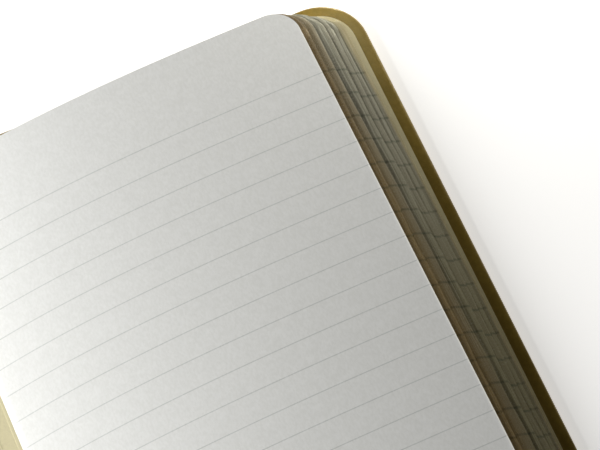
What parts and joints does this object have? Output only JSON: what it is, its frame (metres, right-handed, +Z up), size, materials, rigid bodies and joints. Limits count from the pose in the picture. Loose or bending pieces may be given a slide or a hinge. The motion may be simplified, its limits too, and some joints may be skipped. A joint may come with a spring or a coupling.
{
  "type": "lined notebook",
  "caption": "Pocket-size hardcover notebook lying open at its first ruled page, with the leaves fanned into a slope at the fore-edge and rounded corners",
  "frame": {"origin": "on the table under the middle of the spine, which is the middle of the open notebook's footprint", "axes": "+X runs across the open notebook towards the page block's fore-edge, +Y runs up the page to its head, and +Z points up from the table"},
  "size_m": [0.1962, 0.146, 0.0119],
  "materials": {
    "ruled_paper": "matt off-white writing paper with grey-green rules",
    "covering": "smooth olive-brown leatherette, semi-gloss",
    "board": "grey-brown bookbinding board",
    "endpaper": "plain cream endpaper"
  },
  "bodies": {
    "pages": {"page_block": "ruled_paper", "spine_covering": "covering", "spine_card": "board", "spine_lining": "endpaper"},
    "back_cover": {"back_covering": "covering", "back_board": "board", "back_endpaper": "endpaper"},
    "front_cover": {"front_covering": "covering", "front_board": "board", "front_endpaper": "endpaper"}
  },
  "joints": [
    {"name": "front_cover_hinge", "type": "hinge", "parent": "pages", "child": "front_cover", "pos_m": [-0.0063, 0, 0.00245], "axis": [0, 1, 0], "range_deg": [0, 160]},
    {"name": "back_cover_hinge", "type": "hinge", "parent": "pages", "child": "back_cover", "pos_m": [0.0063, 0, 0], "axis": [0, 1, 0], "range_deg": [0, 170]}
  ]
}
